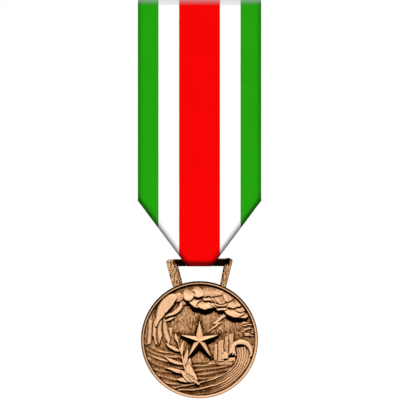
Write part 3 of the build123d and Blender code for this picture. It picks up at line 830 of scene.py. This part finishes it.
# -------- the ribbon as one folded strap, in mm
head_low, head_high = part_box("ribbon_head")
drape_low, drape_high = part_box("ribbon_drape")
THICK = 0.35
half_w = (head_high.x - head_low.x) / 2 / MM
top_r = (head_high.y - head_low.y) / 2 / MM  # outside radius of both folds
mid_r = top_r - THICK / 2
ribbon_y = (head_low.y + head_high.y) / 2 / MM
top_z = head_high.z / MM - top_r  # axis of the fold over the brooch bar
point_z = drape_low.z / MM
bar_axis_z = point_z + top_r
shoulder_z = point_z + 18.7
half_point = 3.5
head_end_z = head_low.z / MM
back_top_z = drape_high.z / MM
tail_z = back_top_z - 5.2  # the tail's sewn end, outside the back panel
flex_top, flex_foot = -3.0, -11.0  # the rows lie closer where the drape swings
FOLD = 0.24  # middle radius of the side folds
lean = (half_w - half_point) / (shoulder_z - point_z)
fold_n = np.array([1.0, -lean]) / math.hypot(1, lean)  # out of the fold, for the right side

PANEL, ARC, FLAP = 61, 9, 12  # points across the open panel, and round and behind each side fold
across_panel = np.sin(np.linspace(-math.pi / 2, math.pi / 2, PANEL)) * 0.35 + np.linspace(-1, 1, PANEL) * 0.65
n_cols = PANEL + 2 * (ARC + FLAP)


def row_columns(z):
    """Places across the flat ribbon of one row's points: flap, fold, panel, fold, flap."""
    fold_t = half_w + (z - shoulder_z) * lean
    start = min(half_w, fold_t - FOLD / fold_n[0])
    end = min(half_w, start + math.pi * FOLD / fold_n[0])
    fold_part = np.linspace(start, end, ARC + 1)[1:]
    right = np.concatenate([fold_part, np.linspace(end, half_w, FLAP + 1)[1:]])
    return np.concatenate([-right[::-1], across_panel * start, right])


def waves(t, z):
    """Very slight unevenness of hanging cloth, in mm."""
    return 0.06 * np.sin(z * 0.17 + 0.6) * np.cos(t * 0.16) + 0.05 * np.sin(z * 0.31 + t * 0.22 + 1.0)


def folded_row(z):
    """One row of the flat ribbon, folded at both sides: places across it, x, depth inwards, z, and shade."""
    t = row_columns(z)
    z = np.full(len(t), z)
    side = np.sign(t)
    ta = np.abs(t)
    outside = (ta - half_w) * fold_n[0] + (z - shoulder_z) * fold_n[1]  # past the fold's line
    bent = outside + FOLD
    angle = np.clip(bent / FOLD, 0, math.pi)
    past = np.maximum(bent - math.pi * FOLD, 0)
    to = np.where(bent > 0, -FOLD + FOLD * np.sin(angle) - past, outside)
    inward = np.where(bent > 0, FOLD * (1 - np.cos(angle)), 0)
    x = side * (ta + fold_n[0] * (to - outside))
    # the cloth rolls gently back towards every edge, and painted shade darkens it there
    to_fold = np.maximum(-np.maximum(to, -9), 0)
    to_selvedge = np.maximum(half_w - ta, 0) + np.where(bent > -0.2, 9, 0)
    above_shoulder = np.clip((z - shoulder_z) / 1.5 + 0.6, 0, 1)
    roll = 0.14 * np.clip(1 - to_fold / 1.2, 0, 1) ** 2
    roll = roll + 0.22 * np.clip(1 - to_selvedge / 1.0, 0, 1) ** 2 * above_shoulder
    fold_shade = 0.80 * np.exp(-((to_fold / 0.93) ** 2))
    selvedge_shade = 0.44 * np.exp(-((to_selvedge / 0.84) ** 2))
    shade = 1 - (1 - fold_shade) * (1 - selvedge_shade)
    return t, x, inward + np.minimum(roll, 0.30), z + fold_n[1] * (to - outside), shade


def panel_row(z, front):
    """A row of the front or the back panel: places across it, points and shade."""
    t, x, inward, zz, shade = folded_row(z)
    hang = np.clip((z - bar_axis_z) / 12, 0, 1) * np.clip((top_z - z) / 8, 0, 1)
    y = mid_r - inward + waves(t, z if front else z + 40) * hang
    return t, np.stack([x, -y if front else y, zz], 1), shade


def joined_rows(*ends_and_counts):
    """Heights from end to end, each stretch evenly divided."""
    stretches = [np.linspace(a, b, n)[:-1] for a, b, n in ends_and_counts[:-1]]
    return np.concatenate(stretches + [np.linspace(*ends_and_counts[-1])])


front_z = joined_rows(
    (top_z, top_z - 1.5, 7), (top_z - 1.5, flex_top, 7), (flex_top, flex_foot, 26),
    (flex_foot, shoulder_z + 1.5, 34), (shoulder_z + 1.5, bar_axis_z, 66),
)
step_foot, step_top = head_end_z - 1.4, head_end_z + 0.6  # where the tail steps over the back panel's end
tail_rows_z = joined_rows((tail_z, step_foot, 10), (step_foot, step_top, 9), (step_top, top_z, 10))

# edge gathers the painted shade of each row, sheen its painted sheen
verts, weave, edge, sheen = [], [], [], []


def add_row(points, t, along, shade, painted_sheen=0.0):
    """Adds a row of points, and says which numbers they got."""
    first = sum(len(v) for v in verts)
    verts.append(points)
    weave.append(np.stack([t, np.full(len(t), along), np.zeros(len(t))], 1))
    edge.append(shade)
    sheen.append(np.full(len(t), painted_sheen))
    return first + np.arange(len(t))


def with_painted_shade(points, shade, front):
    """Painted shade, darker at the top fold and, on the front, at the point; and the painted sheen on the
    fold.
    """
    below_top = top_z + top_r - points[:, 2]
    above_point = points[:, 2] - point_z
    top_fold_shade = 0.52 * np.exp(-((np.maximum(below_top, 0) / 1.25) ** 2.2))
    point_shade = 0.75 * np.exp(-((np.maximum(above_point, 0) / 1.42) ** 3.6)) * front
    return 1 - (1 - shade) * (1 - top_fold_shade) * (1 - point_shade), 0.25 * np.clip(1 - below_top / 1.8, 0, 1)


# the tail and the back of the head, from the sewn end upwards, then over the brooch bar and down the front
for z in tail_rows_z:
    t, x, inward, zz, shade = folded_row(z)
    out_by = THICK * smoothstep((head_end_z + 0.4 - z) / 1.6)
    add_row(np.stack([x, mid_r - inward + out_by, zz], 1), t, z, shade)
t, x, inward, _, top_shade = folded_row(top_z)
for a in np.linspace(0, math.pi, 20)[1:-1]:
    rad = mid_r - inward * 0.6
    points = np.stack([x, rad * math.cos(a), top_z + rad * math.sin(a)], 1)
    add_row(points, t, top_z + 2 * mid_r * a / math.pi, *with_painted_shade(points, top_shade, False))
for z in front_z:
    t, points, shade = panel_row(z, True)
    last_front = add_row(points, t, z, *with_painted_shade(points, shade, True))
faces = grid_faces((last_front[-1] + 1) // n_cols, n_cols)

# round the loop's bar: only the point's own width, and the folded edges go on narrowing down to the bottom
WRAP = 14
lo, hi = ARC + FLAP - 4, ARC + FLAP + PANEL + 4
t, x, inward, zz, wrap_shade = (part[lo:hi] for part in folded_row(bar_axis_z))
previous = last_front[lo:hi]
for k in range(1, WRAP):
    a = math.pi * k / WRAP
    dip = (mid_r + 0.20) * math.sin(a)
    narrow = 1 - lean * dip / (half_point + lean * top_r)
    points = np.stack([x * narrow, -(mid_r - inward) * math.cos(a), zz - dip], 1)
    on_front = a < 0.6 * math.pi
    # the front of the wrap is painted dark, as shade under the point
    ids = add_row(points, t, bar_axis_z - mid_r * a, 1 - (1 - wrap_shade) * (1 - 0.75 * on_front))
    faces += strip_faces(previous, ids)
    previous = ids

# the back panel, from the bar upwards to its end under the tail
back_rows = []
for z in front_z[front_z < back_top_z + 0.01][::-1]:
    t, points, shade = panel_row(z, False)
    along = bar_axis_z - mid_r * math.pi - (points[:, 2].mean() - bar_axis_z)
    back_rows.append(add_row(points, t, along, shade))
faces += grid_faces(len(back_rows), n_cols, back_rows[0][0])
faces += strip_faces(previous, back_rows[0][lo:hi])
for gusset in (slice(0, lo + 1), slice(hi - 1, n_cols)):  # the tucked wall between the panels' lower edges
    faces += strip_faces(last_front[gusset], back_rows[0][gusset])

ribbon = new_object("ribbon_strap", (np.vstack(verts) + [0, ribbon_y, 0]) * MM, faces, ribbon_cloth)
put_attribute(ribbon, "weave", np.vstack(weave))
put_attribute(ribbon, "edge", np.concatenate(edge))
put_attribute(ribbon, "sheen", np.concatenate(sheen))
turn_outwards(ribbon, weld=True)
thicken(ribbon, THICK, even=True)
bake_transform(ribbon)
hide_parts("ribbon_head", "ribbon_drape")


# -------- sewing thread
def stitches_of(node):
    """Middle, long axis and half length of each stitch in a CAD node, in mm."""
    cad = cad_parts[node]
    bm = bmesh.new()
    bm.from_mesh(cad.data)
    bmesh.ops.remove_doubles(bm, verts=bm.verts, dist=1e-7)
    seen, out = set(), []
    for seed in bm.verts:
        if seed in seen:
            continue
        seen.add(seed)
        group, waiting = [], [seed]
        while waiting:
            vert = waiting.pop()
            group.append(tuple((cad.matrix_world @ vert.co) / MM))
            for link in vert.link_edges:
                other = link.other_vert(vert)
                if other not in seen:
                    seen.add(other)
                    waiting.append(other)
        points = np.array(group)
        middle = (points.min(0) + points.max(0)) / 2
        long_axis = np.linalg.svd(points - middle)[2][0]
        out.append((middle, long_axis, np.abs((points - middle) @ long_axis).max()))
    bm.free()
    return out


def sewn(name, node):
    """Two-ply thread along every stitch of a CAD node, its ends diving into the cloth."""
    ply_r, ply_offset, lay_length, dive = 0.085, 0.075, 0.62, 0.22
    steps, around = 26, 8
    rng = np.random.default_rng(SEED + 30)
    verts, faces = [], []
    outwards = np.array([0.0, 1.0, 0.0])
    for middle, long_axis, half in stitches_of(node):
        across = np.cross(long_axis, outwards)
        slack = 0.05 * rng.standard_normal()
        for ply in (0, math.pi):
            faces += tube_faces(steps, around, len(verts))
            for i in range(steps + 1):
                share = 2 * i / steps - 1
                turn = ply + slack * 20 + share * half * TAU / lay_length
                core = middle + long_axis * half * 1.05 * share
                core = core - outwards * dive * share**4 + across * slack * (1 - share**2)
                core = core + ply_offset * (math.cos(turn) * across + math.sin(turn) * outwards)
                for j in range(around):
                    t = TAU * j / around
                    verts.append(core + ply_r * (math.cos(t) * across + math.sin(t) * outwards))
    obj = new_object(name, np.array(verts) * MM, faces, thread)
    turn_outwards(obj)
    hand_over(obj, "drape", node)


bpy.context.view_layer.update()
sewn("seam_thread", "seam_stitches")
sewn("tack_thread", "fold_stitches")

# -------- buckram between the two panels, in mm
stiff_low, stiff_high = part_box("ribbon_stiffener")
stiff_half = (stiff_high.x - stiff_low.x) / 2 / MM
stiff_foot, stiff_top = stiff_low.z / MM, stiff_high.z / MM
stiff_shoulder = shoulder_z + (half_w - stiff_half)
STRAND_PITCH = 1.1
rows, cols = 230, 150
across = np.linspace(-1, 1, cols)[None, :]
stiff_z = np.linspace(stiff_top, stiff_foot + 0.5, rows)[:, None]
stiff_w = stiff_half * np.clip((stiff_z - stiff_foot) / (stiff_shoulder - stiff_foot), 0, 1)
SX, SZ = stiff_w * across, np.repeat(stiff_z, cols, 1)
over_under = np.sin(math.pi * SX / STRAND_PITCH) * np.sin(math.pi * SZ / STRAND_PITCH)
bow = 0.05 * np.sin(SZ * 0.21) * np.cos(SX * 0.12)
fray = 0.10 * np.sin(SZ * 9.1) * np.abs(across) ** 24
verts = np.stack([SX * (0.996 + fray / stiff_half), ribbon_y + 0.06 * over_under + bow, SZ], 2)
sheet = new_object("buckram_sheet", verts.reshape(-1, 3) * MM, grid_faces(rows, cols), buckram)
thicken(sheet, 0.34)
hand_over(sheet, "drape", "ribbon_stiffener")

# -------- the CAD pieces that only need a finish
for node, finish, edge_width in (
    ("brooch_bar", gilt_dull, 0.05), ("hinge_bracket", gilt, 0.06), ("hinge_rivet", gilt, 0.04),
    ("catch_bracket", gilt, 0.06), ("catch_lock", gilt, 0.05), ("bracket_rivets", gilt, 0.05),
    ("pin_needle", steel, 0.04),
):
    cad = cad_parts[node]
    cad.data.materials.clear()
    cad.data.materials.append(finish)
    weld = cad.modifiers.new("weld", "WELD")
    weld.merge_threshold = 0.002 * MM
    worn = cad.modifiers.new("worn_edges", "BEVEL")
    worn.width = edge_width * MM
    worn.segments = 2
    worn.limit_method = "ANGLE"
    worn.angle_limit = math.radians(35)
    worn.harden_normals = True

# -------- light
scene = bpy.context.scene
scene.view_settings.view_transform = "Standard"
scene.view_settings.look = "None"
low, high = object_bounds()
centre = (low + high) / 2


def studio_world():
    """Soft light that grows from the ground up, while the camera itself sees plain white."""
    n = WorldNodes("studio")
    upwards = n.node("ShaderNodeSeparateXYZ", 2, None, i0=n.node("ShaderNodeNewGeometry", "Incoming"))
    height = n.math("MULTIPLY_ADD", upwards, -0.5, 0.5)  # the incoming direction points back at the eye
    grey = n.ramp(height, [(0.0, (0.10,) * 3), (0.5, (0.55,) * 3), (1.0, (1.25,) * 3)])
    lit = n.node("ShaderNodeBackground", 0, None, Color=grey, Strength=0.9)
    seen = n.node("ShaderNodeBackground", 0, None, Color=(1, 1, 1, 1), Strength=1.0)
    by_camera = n.node("ShaderNodeLightPath", "Is Camera Ray")
    mixed = n.node("ShaderNodeMixShader", 0, None, i0=by_camera, i1=lit, i2=seen)
    out = n.tree.nodes.new("ShaderNodeOutputWorld")
    n.put(out.inputs["Surface"], mixed)
    return n.world


def area_light(name, place, size, power):
    """A square lamp that looks at the middle of the medal."""
    data = bpy.data.lights.new(name, "AREA")
    data.size = size
    data.energy = power
    obj = bpy.data.objects.new(name, data)
    obj.location = place
    obj.rotation_mode = "QUATERNION"
    obj.rotation_quaternion = (centre - Vector(place)).to_track_quat("-Z", "Y")
    scene.collection.objects.link(obj)


scene.world = studio_world()
area_light("key", (-0.05, -0.55, 0.40), 0.16, 3.5)
area_light("back_fill", (0.25, 0.6, 0.25), 0.4, 2.5)


# -------- floor
def pale_floor(radius):
    """A pale finish that fades out towards the floor's edge."""
    n = Nodes("pale_floor")
    away = n.node("ShaderNodeVectorMath", "Value", {"operation": "LENGTH"},
                  i0=n.node("ShaderNodeTexCoord", "Object"))
    beyond = n.math("SUBTRACT", n.math("DIVIDE", away, radius), 0.6)
    alpha = n.math("SUBTRACT", 1.0, n.math("MULTIPLY", beyond, 2.5), clamp=True)
    n.put(n.bsdf.inputs["Specular IOR Level"], 0.1)
    return n.finish(Base_Color=(0.86, 0.86, 0.86, 1), Roughness=0.9, Alpha=alpha)


FLOOR_R, FLOOR_SIDES = 0.14, 96
rim_points = [(FLOOR_R * math.cos(TAU * i / FLOOR_SIDES), FLOOR_R * math.sin(TAU * i / FLOOR_SIDES), 0)
              for i in range(FLOOR_SIDES)]
wedges = [(0, 1 + i, 1 + (i + 1) % FLOOR_SIDES) for i in range(FLOOR_SIDES)]
floor = new_object("floor", [(0, 0, 0)] + rim_points, wedges, pale_floor(FLOOR_R))
floor.location = (0, centre.y, low.z - 13 * MM)

# -------- camera, straight in front
camera_data = bpy.data.cameras.new("camera")
camera_data.lens = 260
camera_data.sensor_width = 36
camera_data.clip_start = 0.01
camera_data.clip_end = 50
camera = bpy.data.objects.new("camera", camera_data)
scene.collection.objects.link(camera)
RIBBON_SHARE = 0.3075  # of the picture's width
TOP_CUT = 0.25 * MM  # the picture's upper edge cuts this much off the fold
ASIDE = 0.14 * MM
span = (head_high.x - head_low.x) / RIBBON_SHARE
distance = span * camera_data.lens / camera_data.sensor_width
camera.location = (ASIDE, head_low.y - distance, high.z - TOP_CUT - span / 2)
camera.rotation_euler = (math.pi / 2, 0, 0)
scene.camera = camera
